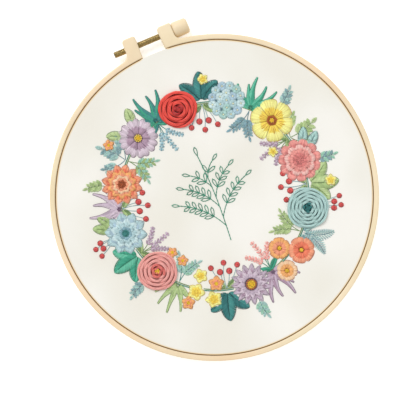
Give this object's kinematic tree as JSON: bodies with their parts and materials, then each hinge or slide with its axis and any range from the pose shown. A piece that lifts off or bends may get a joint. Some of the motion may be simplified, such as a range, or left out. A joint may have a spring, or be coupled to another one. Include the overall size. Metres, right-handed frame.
{
  "type": "embroidered cloth in screw hoop",
  "caption": "Round embroidery hoop that closes with a knobbed screw, holding a drum-tight cloth embroidered with a ring of flowers and leaves.",
  "frame": {"origin": "middle of the footprint on the surface that the back of the hoop lies on", "axes": "+Z out of the face of the cloth, +Y from the hoop towards its screw, +X along the screw towards the knob"},
  "size_m": [0.2, 0.2088, 0.0128],
  "materials": {
    "hoop_plastic": "satin moulded",
    "knob_plastic": "satin moulded",
    "rod_brass": "rolled thread, dulled",
    "cloth": "plain weave cotton",
    "thread_red": "stranded cotton",
    "thread_blue": "stranded cotton",
    "thread_pink": "stranded cotton"
  },
  "bodies": {
    "hoop": {"outer_hoop": "hoop_plastic", "inner_hoop": "hoop_plastic", "cloth": "cloth", "raised_rose_1": "thread_red", "raised_rose_2": "thread_blue", "raised_rose_3": "thread_pink"},
    "screw": {"screw_rod": "rod_brass", "screw_knob": "knob_plastic"}
  },
  "joints": [
    {"name": "screw_spin", "type": "hinge", "parent": "hoop", "child": "screw", "pos_m": [0, 0.09845, 0.0052], "axis": [1, 0, 0], "continuous": true}
  ]
}
